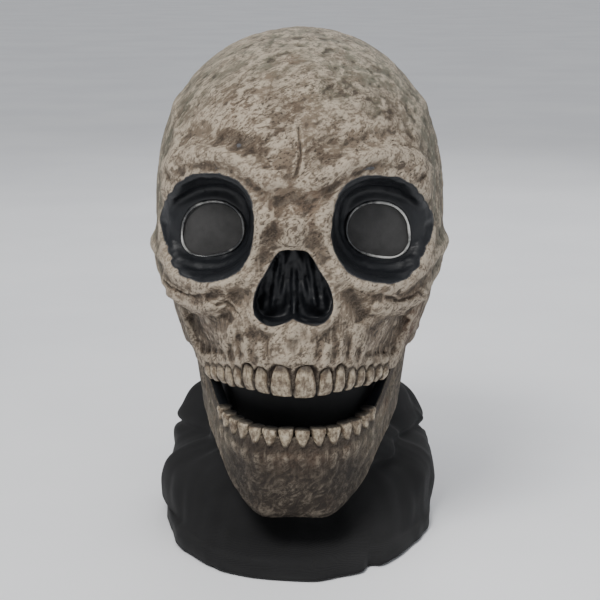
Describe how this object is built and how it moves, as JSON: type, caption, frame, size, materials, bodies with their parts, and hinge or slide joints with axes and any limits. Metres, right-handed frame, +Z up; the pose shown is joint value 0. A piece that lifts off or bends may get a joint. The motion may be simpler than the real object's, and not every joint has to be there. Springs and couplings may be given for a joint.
{
  "type": "latex halloween mask",
  "caption": "Full-head human skull mask in weathered bone latex, with a jaw that opens, gauze eyes and a black neck skirt.",
  "frame": {"origin": "on the ground under the middle of the mask's bounding box, where the hem of the neck skirt rests", "axes": "+Z up to the crown; the face looks along -Y; +X is the wearer's left, which is on the right when the face is looked at"},
  "size_m": [0.181, 0.236, 0.31],
  "materials": {
    "bone_latex": "matte",
    "skirt_cloth": "matte",
    "eye_gauze": "matte",
    "glue": "gloss",
    "foam": "matte",
    "webbing": "matte",
    "tab_cloth": "matte",
    "hinge_steel": "satin",
    "hinge_nylon": "satin",
    "hinge_rubber": "matte"
  },
  "bodies": {
    "skull": {"skull_shell": "bone_latex", "neck_skirt": "skirt_cloth", "forehead_pad": "foam", "crown_pad": "foam", "head_strap": "webbing", "left_side_pad": "foam", "left_strap_tab": "tab_cloth", "left_eye_mesh": "eye_gauze", "left_eye_glue_bead": "glue", "left_hinge_pin": "hinge_steel", "left_hinge_washer": "hinge_rubber", "left_hinge_cap": "hinge_nylon", "right_side_pad": "foam", "right_strap_tab": "tab_cloth", "right_eye_mesh": "eye_gauze", "right_eye_glue_bead": "glue", "right_hinge_pin": "hinge_steel", "right_hinge_washer": "hinge_rubber", "right_hinge_cap": "hinge_nylon"},
    "jaw": {"jaw_shell": "bone_latex", "chin_pad": "foam"}
  },
  "joints": [
    {"name": "jaw_hinge", "type": "hinge", "parent": "skull", "child": "jaw", "pos_m": [0, 0.01, 0.165], "axis": [1, 0, 0], "range_deg": [-11, 6], "stiffness_Nm_per_rad": 2, "springref_deg": -1.72}
  ]
}
